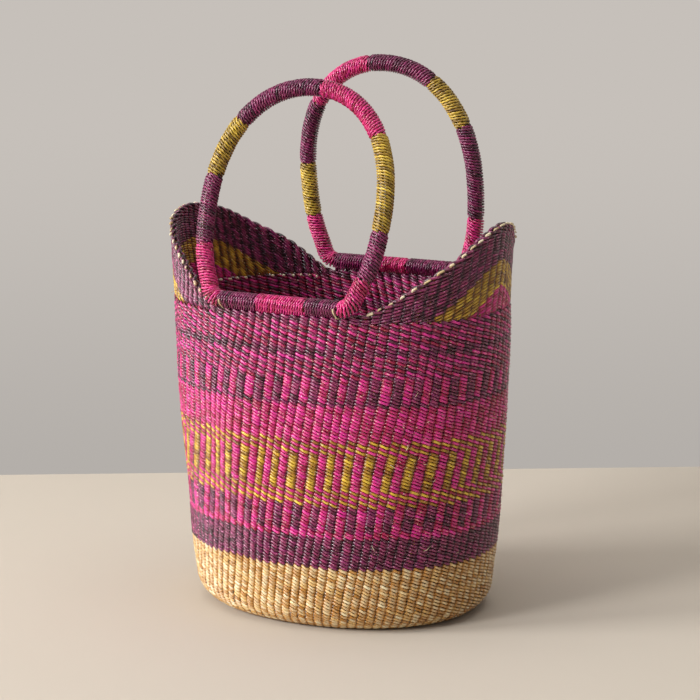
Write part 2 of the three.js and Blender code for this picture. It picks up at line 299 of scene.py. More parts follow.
def tube_faces(count, closed):
    """The number of steps, each face corner's place along and around the tube, and face sizes."""
    steps = count if closed else count - 1
    point, side = np.meshgrid(np.arange(steps), np.arange(SIDES), indexing="ij")
    along = np.stack([point, point, point + 1, point + 1], -1).reshape(-1)
    around = np.stack([side, side + 1, side + 1, side], -1).reshape(-1)
    sizes = np.full(steps * SIDES, 4)
    if not closed:
        cap = np.arange(SIDES)
        along = np.concatenate([along, np.zeros(SIDES, int), np.full(SIDES, count - 1)])
        around = np.concatenate([around, cap[::-1], cap])
        sizes = np.append(sizes, [SIDES, SIDES])
    return steps, along, around, sizes


print("a straw of 100 points has", len(tube_faces(100, False)[3]), "faces")

# %% [markdown]
# A bundle keeps plain arrays and writes one mesh at the end, which is much quicker than one object
# a straw.
# Each tube gets a strip of its own in a second map, so that its colours can be stored later without
# overlap.

# %% A bundle of straws
PLY_RADIUS_SHARE = 0.62
PLY_OFFSET_SHARE = 0.42
GRAIN_SHIFT = 3
END_MARGIN = 0.01
SIDE_MARGIN = 0.05


class Bundle:
    """Straws of one finish, which become one piece. Across is the number of strips side by side."""

    def __init__(self, finish, across=1, plied=False):
        self.finish = finish
        self.material = (plied_finishes if plied else finishes)[finish]
        self.across = across
        self.tubes = []

    def add(self, centre, outward, radius, tint, closed=False):
        """A tube along the points. Radius and tint are one number or one for each point."""
        self.tubes.append((centre, outward, np.broadcast_to(radius, len(centre)),
                           np.broadcast_to(tint, len(centre)), closed))

    def add_rolled(self, centre, outward, radius, tint):
        """A straw rolled from two plies, which twist round its centre line."""
        out, side = square_to(centre, outward)
        start = dice.uniform(0, TURN)
        for ply in range(2):
            turn = (reach_along(centre) / PLY_LAY * TURN + start + ply * math.pi)[:, None]
            away = out * np.cos(turn) + side * np.sin(turn)
            self.add(centre + away * radius * PLY_OFFSET_SHARE, outward,
                     radius * PLY_RADIUS_SHARE, tint)

    def build(self, name, body, *nodes):
        """One mesh of all tubes, which takes the nodes' place. Returns its number of triangles."""
        spots, tints, corners, sizes, strips, grains = [], [], [], [], [], []
        base = 0
        down = math.ceil(len(self.tubes) / self.across)
        for number, (centre, outward, radius, tint, closed) in enumerate(self.tubes):
            count = len(centre)
            steps, along, around, face_sizes = tube_faces(count, closed)
            spots.append(tube_rings(centre, outward, radius, closed).reshape(-1, 3))
            tints.append(np.repeat(tint, SIDES))
            corners.append(base + along % count * SIDES + around % SIDES)
            sizes.append(face_sizes)
            row, column = divmod(number, self.across)
            strips.append(np.stack([
                (column + END_MARGIN + (1 - 2 * END_MARGIN) * along / steps) / self.across,
                (row + SIDE_MARGIN + (1 - 2 * SIDE_MARGIN) * around / SIDES) / down,
            ], -1))
            reach = reach_along(centre)
            reach = np.append(reach, reach[-1] + reach[1])
            girth = TURN * radius.mean()
            grain = np.stack([reach[along], around / SIDES * girth], -1)
            grains.append(grain + dice.uniform(0, GRAIN_SHIFT, 2))
            base += count * SIDES
        spots, corners, sizes = (np.concatenate(parts) for parts in (spots, corners, sizes))
        mesh = bpy.data.meshes.new(name)
        mesh.vertices.add(len(spots))
        mesh.vertices.foreach_set("co", spots.astype(np.float32).ravel())
        mesh.loops.add(len(corners))
        mesh.loops.foreach_set("vertex_index", corners.astype(np.int32))
        mesh.polygons.add(len(sizes))
        starts = np.append(0, np.cumsum(sizes)[:-1])
        mesh.polygons.foreach_set("loop_start", starts.astype(np.int32))
        mesh.update(calc_edges=True)
        mesh.shade_smooth()
        for map_name, values in (("OFBake", strips), ("straw", grains)):
            layer = mesh.uv_layers.new(name=map_name)
            layer.uv.foreach_set("vector", np.concatenate(values).astype(np.float32).ravel())
        mesh.attributes.new("tint", "FLOAT", "POINT").data.foreach_set(
            "value", np.concatenate(tints).astype(np.float32))
        mesh.materials.append(self.material)
        piece = bpy.data.objects.new(name, mesh)
        scene.collection.objects.link(piece)
        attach(piece, body)
        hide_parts(*nodes)
        return int(sizes.sum() - 2 * len(sizes))


print("slots:", sorted(set(SLOTS.values())))

# %% [markdown]
# The wall is one surface: an oval that swells a little from foot to rim, leans out in the ears and
# turns in under the foot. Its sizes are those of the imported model.
# A place on the wall is a position round it, counted in stakes from the right ear, and a height.
# Stakes stand at even distances round the rim, so the walk round it is measured once.

# %% The wall's surface
STAKES = 96
ROW_PITCH = 0.0028
RIM_ROWS = 2
WALL = 0.006
RIM_HALF = np.array([0.158, 0.1145])
FOOT_HALF = np.array([0.137, 0.108])
PLAN_POWER = 2.1
SWELL_POWER = 1.6
RIM_FLARE_SHARE = 0.07
RIGHT_LEAN_SHARE = 0.057
LEFT_LEAN_SHARE = 0.023
WALK_POINTS = 7201
FOOT_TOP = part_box("foot_band")[1].z
WALL_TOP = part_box("dashed_band")[1].z
LOW_RIM = WALL_TOP + RIM_ROWS * ROW_PITCH


def plan(angle, z, inset):
    """Points at those angles, heights and distances in from the outside of the wall."""
    taper = np.maximum(0, 1 - z / LOW_RIM) ** SWELL_POWER
    towards_right = (1 + np.cos(angle)) / 2
    lean_share = LEFT_LEAN_SHARE + (RIGHT_LEAN_SHARE - LEFT_LEAN_SHARE) * towards_right
    flare = RIM_FLARE_SHARE * np.clip(z - WALL_TOP, 0, LOW_RIM - WALL_TOP)
    lean = flare + lean_share * np.maximum(0, z - LOW_RIM)
    half = RIM_HALF - (RIM_HALF - FOOT_HALF) * np.asarray(taper)[..., None]
    half = half + np.asarray(lean - inset)[..., None]
    way = np.stack([np.cos(angle), np.sin(angle)], -1)
    flat = half * np.sign(way) * np.abs(way) ** (2 / PLAN_POWER)
    return np.concatenate([flat, np.broadcast_to(z, np.shape(angle))[..., None]], -1)


walk_angles = np.linspace(0, TURN, WALK_POINTS)
walk_points = plan(walk_angles, np.full(WALK_POINTS, LOW_RIM), 0.0)
walk_reach = reach_along(walk_points)
GIRTH = walk_reach[-1]
STAKE_PITCH = GIRTH / STAKES


def angle_at(position):
    turns = np.floor(position / STAKES)
    within = position - turns * STAKES
    return np.interp(within, walk_reach / STAKE_PITCH, walk_angles) + turns * TURN


print("girth", round(GIRTH, 4), "m, a stake every", round(STAKE_PITCH * 1000, 2), "mm")

# %% [markdown]
# A hand-made wall is never true. The stakes stray to the sides, the rows rise and fall, and the wall
# has soft dents. Each of these is a sum of slow waves, and every straw asks the same waves, so that
# neighbours never run through each other. The straying is counted in stakes.

# %% Ripples in the wall
WAVES = 18
FEWEST_ROUND, MOST_ROUND = 2, 16
UPWARD_SPREAD = 35
STRAY_SIZE = 0.13
RISE_SIZE = 0.0003
DENT_SIZE = 0.0005


class Ripple:
    """A sum of waves over the wall, of about the given size."""

    def __init__(self, size):
        self.round = dice.integers(FEWEST_ROUND, MOST_ROUND, WAVES)
        self.upward = dice.normal(0, UPWARD_SPREAD, WAVES)
        self.start = dice.uniform(0, TURN, WAVES)
        self.size = size * math.sqrt(2 / WAVES)

    def at(self, position, z):
        angle = np.outer(self.round, position) * TURN / STAKES + np.outer(self.upward, z)
        return self.size * np.sin(angle + self.start[:, None]).sum(0)


stray = Ripple(STRAY_SIZE)
rise = Ripple(RISE_SIZE)
dent = Ripple(DENT_SIZE)


def wall_point(position, z, inset):
    """A point of the wall, with its ripples. They fade out towards the floor."""
    position = np.asarray(position, float)
    z = np.broadcast_to(np.asarray(z, float), position.shape)
    fade = np.clip(z / FOOT_TOP, 0, 1)
    strayed = angle_at(position + stray.at(position, z) * fade)
    return plan(strayed, z + rise.at(position, z) * fade, inset + dent.at(position, z) * fade)


print("stakes stray by about", STRAY_SIZE, "of a place, dents are", DENT_SIZE * 1000, "mm deep")

# %% [markdown]
# The rim is level along the handles and rises to a rounded ear at each end. The two ears were made
# by eye, so one is a little taller and the other one fuller. An ear is written as its height, a
# power that rounds its top and a power that draws out its foot.
# The rows of an ear run parallel to its rim, so their depth is measured square to the rim's slope.
# The weaver's pull has turned the stakes, so they lean to the right as they rise.

# %% The rim and the lean of the stakes
RIGHT_EAR = (0.0728, 1.54, 1.68)
LEFT_EAR = (0.070, 1.80, 1.24)
EAR_START_X = 0.066
STAKE_LEAN = 0.17
EAR_REACH = walk_reach[np.argmax(walk_points[:, 0] <= EAR_START_X)]


def rim_height(position):
    along = np.mod(position, STAKES) / STAKES
    from_right, from_left = np.minimum(along, 1 - along), np.abs(along - 0.5)
    height, top_power, foot_power = (
        np.where(from_right < from_left, right, left) for right, left in zip(RIGHT_EAR, LEFT_EAR))
    share = np.minimum(1, np.minimum(from_right, from_left) * GIRTH / EAR_REACH)
    return LOW_RIM + height * (1 - share ** top_power) ** foot_power


def below_rim(position, depth):
    """The height at a depth below the rim. The slope is read from half a stake on either side."""
    slope = (rim_height(position + 0.5) - rim_height(position - 0.5)) / STAKE_PITCH
    return rim_height(position) - depth * np.hypot(1, slope)


def lean_at(z):
    """How many stakes further round a stake stands at a height than at the low rim."""
    return STAKE_LEAN * (z - LOW_RIM) / STAKE_PITCH


print("an ear reaches", round(EAR_REACH, 3), "m each way")
print("from foot to rim a stake moves", round(-float(lean_at(0)), 1), "places")

# %% [markdown]
# Twining takes two straws. At every stake one passes outside and the other inside, and between
# stakes they cross, so the two wind round the row's line like the strands of a rope: half a turn
# for each stake. Seen from outside, each stitch starts high on the left and ends low on the right.
# A straw stays longer on top of its stake than a plain wave would, so the wave is rounded off. Over
# the stake it is pulled thin, and between the stakes it swells, so that the pair closes the gap and
# no light comes through.
# No two stitches are alike, so the swing, the drop, the thickness and the tint all wander a little.
# Where a pair crosses, the straws press together in the shade, and that shade is painted: the tint
# falls below nothing.
# A short row has two ends, and there it flattens and thins until it is lost between its neighbours.

# %% A row of twining
STEPS_PER_STITCH = 5
SWING = 0.0023
DROP = 0.0014
ROUNDNESS = 0.8
SWELL = 0.55
SWING_WANDER = 0.07
DROP_WANDER = 0.06
LINE_WANDER = 0.00009
SIZE_WANDER = 0.05
THINNEST, THICKEST = 0.92, 1.1
MIDDLE_TINT = 0.5
TINT_WANDER = 0.16
SLOW_STAKES = 5.0
QUICK_STAKES = 0.5
PAINTED_CROSSING_SHADE = 0.9
PAINTED_CROSSING_POWER = 4
RUN_OUT_STAKES = 0.5
RUN_OUT_SHARE = 0.25
ROUND_STITCHES = np.arange(STAKES * STEPS_PER_STITCH) / STEPS_PER_STITCH


def wander(where, size, every=1.0):
    """A smooth random value at each place, with a new knot every so many stakes."""
    knots = dice.normal(0, 1, int(np.ptp(where) / every) + 2)
    return size * np.interp((where - where.min()) / every, np.arange(len(knots)), knots)


def tint_of(where):
    slow = wander(where, TINT_WANDER, SLOW_STAKES)
    return np.clip(MIDDLE_TINT + slow + wander(where, TINT_WANDER, QUICK_STAKES), 0, 1)


def twine(bundles, line, outward, stitch, closed,
          swing=SWING, drop=DROP, radius=WALL_STRAW_RADIUS):
    """Two straws along a line. Stitch counts the stakes, and at even ones the first is outside."""
    upward = np.cross(outward, unit(steps_along(line, closed)))
    fade = np.ones(len(line))
    if not closed:
        from_end = np.minimum(stitch - stitch[0], stitch[-1] - stitch)
        fade = np.clip(from_end / RUN_OUT_STAKES, RUN_OUT_SHARE, 1)
    wave = np.cos(math.pi * stitch)
    wave = np.sign(wave) * np.abs(wave) ** ROUNDNESS
    slide = np.sin(math.pi * stitch)
    pressed = np.abs(slide)
    for bundle, side in zip(bundles, (1, -1)):
        out = side * wave * swing * (1 + wander(stitch, SWING_WANDER)) * fade
        up = -side * slide * drop * (1 + wander(stitch, DROP_WANDER)) + wander(stitch, LINE_WANDER)
        uneven = np.clip(1 + wander(stitch, SIZE_WANDER), THINNEST, THICKEST)
        size = radius * (1 + SWELL * pressed) * uneven * np.sqrt(fade)
        centre = line + outward * out[:, None] + upward * up[:, None]
        # Painted shade at the crossings: the tint is drawn down below nothing where the pair presses
        # together.
        tint = tint_of(stitch) - PAINTED_CROSSING_SHADE * pressed ** PAINTED_CROSSING_POWER
        bundle.add(centre, outward, size, tint, closed)


def wall_normal(line, closed):
    """The level direction out of the wall along a row that runs round it."""
    step = steps_along(line, closed)
    return unit(np.stack([step[:, 1], -step[:, 0], np.zeros(len(line))], -1))


def level_row(bundles, z):
    line = wall_point(ROUND_STITCHES + lean_at(z), z, WALL / 2)
    twine(bundles, line, wall_normal(line, True), ROUND_STITCHES, True)


print("one row has", 2 * STAKES, "stitches, half of them inside")

# %% [markdown]
# The pattern comes from which colours are paired. Two straws of one colour give a plain row.
# Pink with purple gives a pink stitch on every even stake and a purple one on every odd stake. If
# every row starts alike, the colours stack up in stripes. If every second row is swapped, they
# break up into dashes.
# Each band is listed from its lowest row up.

# %% The colour of each row
def plain(name, rows):
    return [(name, name)] * rows


def stripes(first, second, rows):
    return [(first, second)] * rows


def dashes(first, second, rows):
    return [(first, second) if row % 2 else (second, first) for row in range(rows)]


BANDS = {
    "purple_band": plain("purple", 10),
    "lower_check_band": plain("pink", 2) + stripes("pink", "purple", 8),
    "gold_pink_band": (dashes("gold", "pink", 5) + stripes("gold", "pink", 11)
                       + dashes("pink", "gold", 5)),
    "pink_band": plain("pink", 11),
    "upper_check_band": plain("purple", 1) + stripes("pink", "purple", 8),
    "dashed_band": (dashes("pink", "purple", 7) + plain("purple", 2)
                    + dashes("pink", "purple", 8)),
}

made = {}
for node, rows in BANDS.items():
    bundles = {name: Bundle(name) for pair in rows for name in pair}
    bottom = round(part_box(node)[0].z / ROW_PITCH) * ROW_PITCH
    for row, pair in enumerate(rows):
        level_row([bundles[name] for name in pair], bottom + (row + 0.5) * ROW_PITCH)
    for name, bundle in bundles.items():
        made[f"{node}_{name}"] = bundle.build(f"{node}_{name}", "basket", node)
print("wall:", made)

# %% [markdown]
# The foot is undyed. Its rows come straight down and then follow the rounded edge in under the
# basket, where they turn into rings of the base. So one measure runs all the way: the distance
# below the start of the curve.
# In the base the rings get shorter while the stakes stay, so the stakes are laid together in pairs
# and then in fours. The stitches there are small, so they need fewer points.

# %% The foot and the base
CURVE_START = 0.022
CURVE_INSET = 0.016
BASE_THICKNESS = 0.005
CURVE_DROP = CURVE_START - BASE_THICKNESS / 2
CURVE_STEPS = np.linspace(0, math.pi / 2, 200)
curve_reach = np.append(0, np.cumsum(np.hypot(
    np.diff(CURVE_INSET * np.cos(CURVE_STEPS)), np.diff(CURVE_DROP * np.sin(CURVE_STEPS)))))
BASE_SWING = BASE_THICKNESS / 2 - STRAW_RADIUS
BASE_STEPS_PER_STITCH = 4
PAIRS_INSET = 0.045
FOURS_INSET = 0.080
CENTRE_GAP = 0.006


def foot_row(bundle, below):
    """A row at a distance below the start of the curve. Returns False once it is in the middle."""
    tilt = float(np.interp(below, curve_reach, CURVE_STEPS))
    flat_run = max(0.0, below - curve_reach[-1])
    inset = WALL / 2 + CURVE_INSET * (1 - math.cos(tilt)) + flat_run
    z = CURVE_START - CURVE_DROP * math.sin(tilt)
    if inset > FOOT_HALF[1] - CENTRE_GAP:
        return False
    together = 1 if inset < PAIRS_INSET else 2 if inset < FOURS_INSET else 4
    steps = STEPS_PER_STITCH if below < curve_reach[-1] else BASE_STEPS_PER_STITCH
    stitch = np.arange(STAKES // together * steps) / steps
    line = wall_point(stitch * together + lean_at(z), z, inset)
    out = wall_normal(line, True) * math.cos(tilt) + np.array([0, 0, -math.sin(tilt)])
    swing = SWING + (BASE_SWING - SWING) * math.sin(tilt)
    twine([bundle, bundle], line, out, stitch, True, swing)
    return True


straight = Bundle("natural")
straight_rows = int((FOOT_TOP - CURVE_START) / ROW_PITCH)
for row in range(straight_rows):
    level_row([straight, straight], FOOT_TOP - (row + 0.5) * ROW_PITCH)
made = {"foot_wall": straight.build("foot_wall", "basket", "foot_band")}

below = CURVE_START - (FOOT_TOP - (straight_rows + 0.5) * ROW_PITCH)
for name, node, reach in (("foot_turn", "foot_band", curve_reach[-1]),
                          ("base", "base_disc", math.inf)):
    bundle = Bundle("natural")
    while below < reach and foot_row(bundle, below):
        below += ROW_PITCH
    made[name] = bundle.build(name, "basket", node)
print("foot:", made)

# %% [markdown]
# An ear is made of short rows. The weaver turns back further from the end each time, so the rows
# keep parallel to the rim and run out on the top of the level wall.
# Two rows follow the rim all the way round. Under them, each ear has eleven purple rows, ten gold
# ones and pink ones for what is left. Short rows are pulled tighter, so they lie closer.

# %% The rim and the ears
EAR_PITCH = 0.0023
EAR_SWING = 0.0017
EAR_DROP = 0.0009
EAR_STRAW_RADIUS = 0.00090
EAR_LAYERS = (("border", "purple", 0, 11), ("stripe", "gold", 11, 21), ("wedge", "pink", 21, 33))
EAR_POINTS = 4001
RIM_POINTS_PER_STAKE = 40
SHORTEST_ROW = 2
RUN_OUT_HEIGHT = WALL_TOP - 0.15 * ROW_PITCH


def followed_row(positions, depth, closed):
    """The line, the outward directions and the stitches of a row that follows the rim."""
    count = positions - lean_at(below_rim(positions, depth))
    if closed:
        stitch = ROUND_STITCHES + math.ceil(count[0])
    else:
        first, last = math.ceil(count[0] * STEPS_PER_STITCH), count[-1] * STEPS_PER_STITCH
        stitch = np.arange(first, last) / STEPS_PER_STITCH
    position = np.interp(stitch, count, positions)
    line = wall_point(position, below_rim(position, depth), WALL / 2)
    return line, wall_normal(line, closed), stitch


rim = Bundle("purple")
round_trip = np.linspace(-1, STAKES + 1, RIM_POINTS_PER_STAKE * STAKES)
for row in range(RIM_ROWS):
    line, outward, stitch = followed_row(round_trip, (row + 0.5) * ROW_PITCH, True)
    twine([rim, rim], line, outward, stitch, True)
made = {"rim_rows": rim.build("rim_rows", "basket", "rim_band")}

for side, centre in (("right", 0), ("left", STAKES / 2)):
    for layer, name, first, last in EAR_LAYERS:
        bundle = Bundle(name)
        for row in range(first, last):
            depth = RIM_ROWS * ROW_PITCH + (row + 0.5) * EAR_PITCH
            span = centre + np.linspace(-1, 1, EAR_POINTS) * EAR_REACH / STAKE_PITCH
            span = span[below_rim(span, depth) > RUN_OUT_HEIGHT]
            if len(span) * 2 * EAR_REACH / STAKE_PITCH / (EAR_POINTS - 1) > SHORTEST_ROW:
                line, outward, stitch = followed_row(span, depth, False)
                twine([bundle, bundle], line, outward, stitch, False,
                      EAR_SWING, EAR_DROP, EAR_STRAW_RADIUS)
        made[f"{side}_{layer}"] = bundle.build(
            f"{side}_ear_{layer}_rows", "basket", f"{side}_ear_{layer}")
print("rim and ears:", made)

# %% [markdown]
# The stakes run inside the rows from the base to the rim. They show only in the gaps between
# stitches, where they lie in the shade, so shade is painted on them: their tint is drawn down too.
# At the rim each one is bent over to the right along the last row and trimmed, so the edge is
# dotted with pale ends. They are cut by hand, so no two are as long or as thick, and some have
# slipped out of sight. Under the handles the lashing covers most of them.
# An end is written as six points along it, with its height above the rim, its distance in from the
# outside of the wall, and its thickness.

# %% The stakes and their cut ends
STAKE_RADIUS = 0.0010
STAKE_POINTS = 30
STAKE_TINTS_PER_POINT = 1 / 8
HIDDEN_PAINTED_SHADE = 0.8
SETTLING_ROUNDS = 12
HIDDEN_SHARE = 0.07
COVERED_HIDDEN_SHARE = 0.75
COVERED_LENGTH_SHARE = 0.6
END_RADIUS = 0.00118
END_LENGTH = 0.0040
END_WALK = np.linspace(0, 1, 6)
END_LIFT = 0.0014 * np.clip(END_WALK * 4 - 0.6, -1, 0.35)
END_INSET = 0.0012 - 0.0016 * END_WALK
END_THICKNESS = np.array([0.8, 1.05, 1.0, 1.0, 0.95, 0.8])
UPWARD = np.array([0.0, 0.0, 1.0])


def rim_at_stake(number):
    """The height at which a leaning stake meets the rim."""
    z = LOW_RIM
    for _ in range(SETTLING_ROUNDS):
        z = float(rim_height(number + lean_at(z)))
    return z


stakes = Bundle("natural", 4)
ends = Bundle("cut", 16)
for number in range(STAKES):
    top = rim_at_stake(number)
    heights = np.linspace(CURVE_START, top - STRAW_RADIUS, STAKE_POINTS)
    line = wall_point(number + lean_at(heights), heights, WALL / 2)
    # Painted shade on the stakes, which lie hidden in the gaps.
    tint = tint_of(np.arange(STAKE_POINTS) * STAKE_TINTS_PER_POINT) - HIDDEN_PAINTED_SHADE
    stakes.add(line, unit(line * [1, 1, 0]), STAKE_RADIUS, tint)
    covered = top < LOW_RIM + ROW_PITCH / 2
    if dice.uniform() < (COVERED_HIDDEN_SHARE if covered else HIDDEN_SHARE):
        continue
    length = END_LENGTH * dice.uniform(0.6, 1.4) * (COVERED_LENGTH_SHARE if covered else 1)
    position = number + lean_at(top) + dice.normal(0, 0.06) + END_WALK * length / STAKE_PITCH
    heights = rim_height(position) + dice.uniform(-0.0006, 0.0004) + END_LIFT
    tip = wall_point(position, heights, END_INSET + dice.normal(0, 0.0004))
    thickness = END_RADIUS * dice.uniform(0.7, 1.15) * END_THICKNESS
    ends.add(tip, np.tile(UPWARD, (len(tip), 1)), thickness, dice.uniform(0.0, 1))
made = {
    "stakes": stakes.build("stakes", "basket"),
    "rim_ends": ends.build("rim_cut_ends", "basket"),
}
print("stakes:", made)

# %% [markdown]
# A second line of trimmed ends shows inside the basket, along the foot of each ear, where the
# stakes of the level wall stop. They are short, pale and stick straight in.

# %% Cut ends inside the ears
INNER_END_LENGTH = 0.0029
INNER_END_ROOT = 0.002
INNER_END_LIFT = np.array([-0.0004, 0, 0.0004])
INNER_HIDDEN_SHARE = 0.06

inner = Bundle("cut", 16)
for number in range(STAKES):
    position = number + float(lean_at(WALL_TOP)) + dice.normal(0, 0.08)
    if rim_height(position) < LOW_RIM + ROW_PITCH or dice.uniform() < INNER_HIDDEN_SHARE:
        continue
    insets = WALL + np.array([-INNER_END_ROOT, 0.0, INNER_END_LENGTH * dice.uniform(0.7, 1.2)])
    heights = WALL_TOP + INNER_END_LIFT + dice.normal(0, 0.0002)
    tip = wall_point(np.full(len(insets), position), heights, insets)
    thickness = END_RADIUS * dice.uniform(0.9, 1.15)
    inner.add(tip, np.tile(UPWARD, (len(tip), 1)), thickness, dice.uniform(0.9, 1.4))
print("inner ends:", len(inner.tubes), "with", inner.build("ear_cut_ends", "basket"), "triangles")

# %% [markdown]
# Each handle is a closed loop: a straight bar on the rim, a tight corner at each end, two sides
# that open out, and a full arch over the top. It is built as a flat line first and then measured
# along its length, because the wraps are laid by length.
# The back bar is a little longer than the front one.

# %% The handle's line
BAR_HALVES = {"front": 0.0685, "back": 0.0730}
CORNER_REACH = 0.0095
LOOP_HALF_WIDTH = 0.0865
SHOULDER_HEIGHT = 0.084
LOOP_HEIGHT = 0.191
SIDE_START_SHARES = (0.45, 0.3)
SIDE_END_SHARE = 0.6
ARCH_FULLNESS_SHARE = 0.6
CURVE_POINTS = 60


def bezier(*points):
    t = np.linspace(0, 1, CURVE_POINTS)[:, None]
    points = [np.array(point) for point in points]
    while len(points) > 1:
        points = [a * (1 - t) + b * t for a, b in zip(points, points[1:])]
    return points[0]


def half_loop(bar_half):
    """From the middle of the bar to the top of the loop, on the right."""
    run = (LOOP_HALF_WIDTH - bar_half) * SIDE_START_SHARES[0]
    climb = SHOULDER_HEIGHT * SIDE_START_SHARES[1]
    bar_end = np.array([bar_half, 0])
    corner = bar_end + CORNER_REACH * np.array([run, climb]) / math.hypot(run, climb)
    bend_start = (bar_half - CORNER_REACH, 0)
    shoulder = (LOOP_HALF_WIDTH, SHOULDER_HEIGHT)
    side_pull = (LOOP_HALF_WIDTH, SHOULDER_HEIGHT * (1 - SIDE_END_SHARE))
    arch_height = SHOULDER_HEIGHT + (LOOP_HEIGHT - SHOULDER_HEIGHT) * ARCH_FULLNESS_SHARE
    top_pull = (LOOP_HALF_WIDTH * ARCH_FULLNESS_SHARE, LOOP_HEIGHT)
    return np.vstack([
        bezier((0, 0), bend_start),
        bezier(bend_start, (bar_half, 0), corner)[1:],
        bezier(corner, (bar_half + run, climb), side_pull, shoulder)[1:],
        bezier(shoulder, (LOOP_HALF_WIDTH, arch_height), top_pull, (0, LOOP_HEIGHT))[1:],
    ])


class Loop:
    """A handle's flat centre line, which starts and ends in the middle of its bar."""

    def __init__(self, bar_half):
        half = half_loop(bar_half)
        self.points = np.vstack([half * [-1, 1], half[-2::-1]])
        self.reach = reach_along(self.points)
        self.bar_run = bar_half - CORNER_REACH
        self.arch = self.reach[-1] - 2 * self.bar_run

    def at(self, reach):
        """Points at those distances along the line, and the directions in which it runs there."""
        flat = np.stack([np.interp(reach, self.reach, self.points[:, i]) for i in (0, 1)], -1)
        return flat, unit(np.gradient(flat, axis=0))


loops = {side: Loop(bar_half) for side, bar_half in BAR_HALVES.items()}
print("wrapped for the hand:", {side: round(loop.arch, 4) for side, loop in loops.items()}, "m")

# %% [markdown]
# A handle stands on its bar and leans in over the basket. Its flat line is set up in space by three
# directions: along the bar, up the loop, and square to both. The bar's place is read from its
# lashings.

# %% Handles in space
TOWARDS_AND_LEAN = {"front": (1, 20.0), "back": (-1, 7.0)}


def handle_axes(side):
    """The bar's middle, and the directions along the bar, up the loop and across it."""
    towards, lean = TOWARDS_AND_LEAN[side]
    low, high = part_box(f"{side}_lashing_2_pink")
    middle = np.array([0, (low.y + high.y) / 2, (low.z + high.z) / 2])
    tilt = math.radians(lean) * towards
    up = np.array([0, math.sin(tilt), math.cos(tilt)])
    across = np.array([0, math.cos(tilt), -math.sin(tilt)])
    return middle, np.array([1.0, 0, 0]), up, across


def loop_in_space(side, reach):
    """Points of the loop at those distances along it, and two directions square to it there."""
    middle, along, up, across = handle_axes(side)
    flat, step = loops[side].at(reach)
    line = middle + along * flat[:, :1] + up * flat[:, 1:]
    return line, along * -step[:, 1:] + up * step[:, :1], across


print("bars at", {side: handle_axes(side)[0].round(4).tolist() for side in loops})

# %% [markdown]
# Wraps and lashings are wound alike: rolled straws side by side, each turn hard against the last.
# Where a straw starts or ends, it is tucked under its neighbours. A path is a function that turns
# places, angles and the share by which the straw is out of its tuck into points.

# %% Winding
WRAP_STRAW_RADIUS = 0.00114
STEPS_PER_TURN = 26
TINTS_PER_TURN = 4
TUCK_STEPS = 6


def wind(bundle, path, side, start, end, straws, pitch, hand):
    turns = (end - start) / (straws * pitch)
    count = int(turns * STEPS_PER_TURN)
    share = np.linspace(0, 1, count)
    free = np.clip(np.minimum(share, 1 - share) * count / TUCK_STEPS, 0, 1)
    for number in range(straws):
        turn = hand * TURN * (share * turns + number / straws)
        centre, outward = path(side, start + (end - start) * share, turn, free)
        tint = tint_of(share * turns * TINTS_PER_TURN)
        bundle.add_rolled(centre, outward, WRAP_STRAW_RADIUS, tint)


print("wound straws are", WRAP_STRAW_RADIUS * 2000, "mm thick")

# %% [markdown]
# Inside a handle is a bundle of dry grass, seven stems thick, with one stem in the middle and the
# others twisted round it. It hardly shows and lies in shade, so shade is painted on it: its tint is
# drawn down like that of the stakes.
# Round it go five straws at a time, which is what gives the wraps their slant.
# A wrap is written as its colour and its share of the length from one end of the bar round to the
# other. One was wound the other way round, so its slant is turned over.

# %% Cores and coloured wraps
WRAP_PITCH = 0.00258
WRAP_STRAWS = 5
WOUND_THE_OTHER_WAY = (("front", 5),)
GRIP_RADIUS = 0.008
STEMS = 7
STEM_POINTS = 140
STEM_RADIUS = 0.0019
STEM_CIRCLE = 0.0038
STEM_TWIST = 12
STEM_TINTS = 100
GRIPS = {
    "front": (("pink", 0.114), ("purple", 0.125), ("gold", 0.108), ("purple", 0.173),
              ("pink", 0.152), ("gold", 0.171), ("purple", 0.086), ("pink", 0.071)),
    "back": (("pink", 0.105), ("gold", 0.102), ("purple", 0.124), ("pink", 0.143),
             ("purple", 0.131), ("gold", 0.101), ("purple", 0.173), ("pink", 0.121)),
}


def stem_core(side):
    core = Bundle("core")
    spots = np.linspace(0, loops[side].reach[-1], STEM_POINTS)
    line, normal, across = loop_in_space(side, spots)
    for stem in range(STEMS):
        angle = stem * TURN / (STEMS - 1) + spots[:, None] * STEM_TWIST
        away = STEM_CIRCLE if stem < STEMS - 1 else 0.0
        shift = (normal * np.cos(angle) + across * np.sin(angle)) * away
        # Painted shade on the stems, which lie hidden under the wraps.
        core.add(line + shift, normal, STEM_RADIUS, tint_of(spots * STEM_TINTS) - HIDDEN_PAINTED_SHADE)
    return core


def grip_path(side, reach, turn, free):
    line, normal, across = loop_in_space(side, reach)
    out = normal * np.cos(turn)[:, None] + across * np.sin(turn)[:, None]
    radius = GRIP_RADIUS - WRAP_STRAW_RADIUS - WRAP_STRAW_RADIUS * (1 - free)
    return line + out * radius[:, None], out


made = {}
for side, wraps in GRIPS.items():
    made[f"{side}_core"] = stem_core(side).build(
        f"{side}_core_stems", f"{side}_handle", f"{side}_handle_core")
    start = loops[side].bar_run
    for number, (name, share) in enumerate(wraps, 1):
        bundle = Bundle(name, plied=True)
        end = start + share * loops[side].arch
        hand = -1 if (side, number) in WOUND_THE_OTHER_WAY else 1
        wind(bundle, grip_path, side, start, end, WRAP_STRAWS, WRAP_PITCH, hand)
        made[f"{side}_{number}"] = bundle.build(
            f"{side}_wrap_{number}_{name}", f"{side}_handle", f"{side}_grip_{number}_{name}")
        start = end
print("handles:", made)

# %% [markdown]
# The bar of each handle is lashed down along the low rim with coloured straw. Each turn goes over
# the bar and through the top row of the wall, so it is a circle whose lower part is drawn down to
# the wall.
# The lashings stay with the basket when a handle swings.

